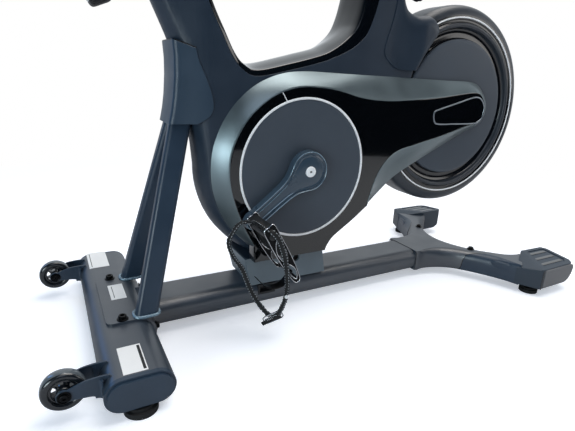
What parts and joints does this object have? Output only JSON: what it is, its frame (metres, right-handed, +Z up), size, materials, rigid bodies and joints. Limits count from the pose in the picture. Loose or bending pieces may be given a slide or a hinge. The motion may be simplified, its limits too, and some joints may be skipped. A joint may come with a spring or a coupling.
{
  "type": "exercise bike",
  "caption": "Indoor cycling bike with a belt-driven rear flywheel, moulded frame shells, adjustable handlebars and saddle, toe-strap pedals and a four-point base with transport wheels.",
  "frame": {"origin": "on the floor, at the middle of the base", "axes": "-X is the front of the bike, -Y its left side, +Z up"},
  "size_m": [1.355, 0.61, 1.2103],
  "materials": {
    "charcoal_powder_coat": "satin fine-textured powder coat",
    "slate_shell_plastic": "matte moulded plastic",
    "silver_band": "satin metallic paint",
    "gloss_black": "high gloss",
    "dark_disc": "matte moulded plastic",
    "white_trim": "satin",
    "badge_grey": "satin metallic",
    "cover_plastic": "matte moulded plastic",
    "black_rubber": "matte",
    "black_plastic": "satin",
    "frame_steel": "satin paint",
    "black_bolt": "black oxide",
    "bright_steel": "turned and plated",
    "flywheel_alloy": "black painted",
    "pulley_alloy": "turned",
    "crank_paint": "satin paint",
    "pedal_resin": "moulded",
    "cage_steel": "plated",
    "strap_webbing": "woven",
    "wheel_urethane": "glossy urethane",
    "grip_rubber": "textured",
    "display_plastic": "gloss",
    "post_paint": "satin",
    "saddle_cover": "grained"
  },
  "bodies": {
    "frame": {"main_beam": "charcoal_powder_coat", "front_stabilizer": "charcoal_powder_coat", "front_end_caps": "cover_plastic", "wheel_forks": "charcoal_powder_coat", "strut_plate": "charcoal_powder_coat", "front_struts": "charcoal_powder_coat", "rear_stabilizer": "charcoal_powder_coat", "rear_covers": "cover_plastic", "front_feet": "black_rubber", "frame_bolts": "black_bolt", "power_inlet": "black_plastic", "frame_foot": "cover_plastic", "steel_frame": "frame_steel", "left_frame_shell": "slate_shell_plastic", "right_frame_shell": "slate_shell_plastic", "frame_trim": "gloss_black", "head_cover": "slate_shell_plastic", "silver_bezels": "silver_band", "drive_covers": "gloss_black", "disc_covers": "dark_disc", "ring_trims": "white_trim", "axle_badges": "badge_grey", "flywheel_guards": "slate_shell_plastic", "bearings": "bright_steel", "drive_belt": "black_rubber", "brake_motor": "black_plastic", "post_sleeves": "black_plastic", "wheel_bolts": "bright_steel"},
    "flywheel_set": {"flywheel": "flywheel_alloy", "flywheel_faces": "dark_disc", "flywheel_rings": "white_trim", "flywheel_axle": "bright_steel", "flywheel_pulley": "pulley_alloy"},
    "brake": {"brake_carrier": "pulley_alloy"},
    "crankset": {"crank_axle": "bright_steel", "drive_pulley": "pulley_alloy", "crank_arms": "crank_paint", "pedal_spindles": "bright_steel"},
    "left_pedal_set": {"left_pedal": "pedal_resin", "left_toe_cage": "cage_steel", "left_toe_strap": "strap_webbing"},
    "right_pedal_set": {"right_pedal": "pedal_resin", "right_toe_cage": "cage_steel", "right_toe_strap": "strap_webbing"},
    "left_wheel": {"left_wheel_tyre": "wheel_urethane", "left_wheel_hub": "black_plastic"},
    "right_wheel": {"right_wheel_tyre": "wheel_urethane", "right_wheel_hub": "black_plastic"},
    "left_foot": {"left_rear_foot": "black_rubber"},
    "right_foot": {"right_rear_foot": "black_rubber"},
    "handlebar_set": {"handlebar_post": "post_paint", "handlebars": "grip_rubber"},
    "display": {"console": "display_plastic"},
    "front_knob": {"front_post_knob": "black_plastic"},
    "resistance_dial": {"resistance_knob": "black_plastic"},
    "seat_mast": {"seat_post": "post_paint"},
    "saddle": {"seat_slider": "black_plastic", "saddle_base": "black_plastic", "saddle_pad": "saddle_cover"},
    "seat_knob": {"seat_post_knob": "black_plastic"}
  },
  "joints": [
    {"name": "flywheel_spin", "type": "hinge", "parent": "frame", "child": "flywheel_set", "pos_m": [0.3795, 0, 0.491], "axis": [0, 1, 0], "continuous": true},
    {"name": "crank_spin", "type": "hinge", "parent": "frame", "child": "crankset", "pos_m": [-0.1075, 0, 0.361], "axis": [0, 1, 0], "continuous": true},
    {"name": "left_pedal_spin", "type": "hinge", "parent": "crankset", "child": "left_pedal_set", "pos_m": [-0.24327, -0.15, 0.25869], "axis": [0, 1, 0], "continuous": true},
    {"name": "right_pedal_spin", "type": "hinge", "parent": "crankset", "child": "right_pedal_set", "pos_m": [0.02827, 0.15, 0.46331], "axis": [0, 1, 0], "continuous": true},
    {"name": "brake_swing", "type": "hinge", "parent": "frame", "child": "brake", "pos_m": [0.1285, 0, 0.636], "axis": [0, 1, 0], "range_deg": [-0.6, 3]},
    {"name": "left_wheel_spin", "type": "hinge", "parent": "frame", "child": "left_wheel", "pos_m": [-0.6415, -0.239, 0.058], "axis": [0, 1, 0], "continuous": true},
    {"name": "right_wheel_spin", "type": "hinge", "parent": "frame", "child": "right_wheel", "pos_m": [-0.6415, 0.239, 0.058], "axis": [0, 1, 0], "continuous": true},
    {"name": "left_foot_turn", "type": "hinge", "parent": "frame", "child": "left_foot", "pos_m": [0.5475, -0.265, 0.01], "axis": [0, 0, 1], "continuous": true},
    {"name": "right_foot_turn", "type": "hinge", "parent": "frame", "child": "right_foot", "pos_m": [0.5475, 0.265, 0.01], "axis": [0, 0, 1], "continuous": true},
    {"name": "handlebar_height", "type": "slide", "parent": "frame", "child": "handlebar_set", "axis": [-0.3827, 0, 0.9239], "range_m": [0, 0.16]},
    {"name": "console_tilt", "type": "hinge", "parent": "handlebar_set", "child": "display", "pos_m": [-0.54862, 0, 1.05528], "axis": [0, 1, 0], "range_deg": [-15, 20]},
    {"name": "resistance_turn", "type": "hinge", "parent": "handlebar_set", "child": "resistance_dial", "pos_m": [-0.51662, 0, 1.05328], "axis": [0, 0, 1], "range_deg": [0, 270]},
    {"name": "front_knob_pull", "type": "slide", "parent": "frame", "child": "front_knob", "axis": [-0.9239, 0, -0.3827], "range_m": [0, 0.012], "stiffness_N_per_m": 900, "springref_m": -0.006},
    {"name": "seat_height", "type": "slide", "parent": "frame", "child": "seat_mast", "axis": [0.2588, 0, 0.9659], "range_m": [0, 0.2]},
    {"name": "seat_slide", "type": "slide", "parent": "seat_mast", "child": "saddle", "axis": [1, 0, 0], "range_m": [-0.035, 0.035]},
    {"name": "seat_knob_pull", "type": "slide", "parent": "frame", "child": "seat_knob", "axis": [0.9659, 0, -0.2588], "range_m": [0, 0.012], "stiffness_N_per_m": 900, "springref_m": -0.006}
  ],
  "couplings": [
    {"joint": "crank_spin", "follows": "flywheel_spin", "ratio": 0.25}
  ]
}
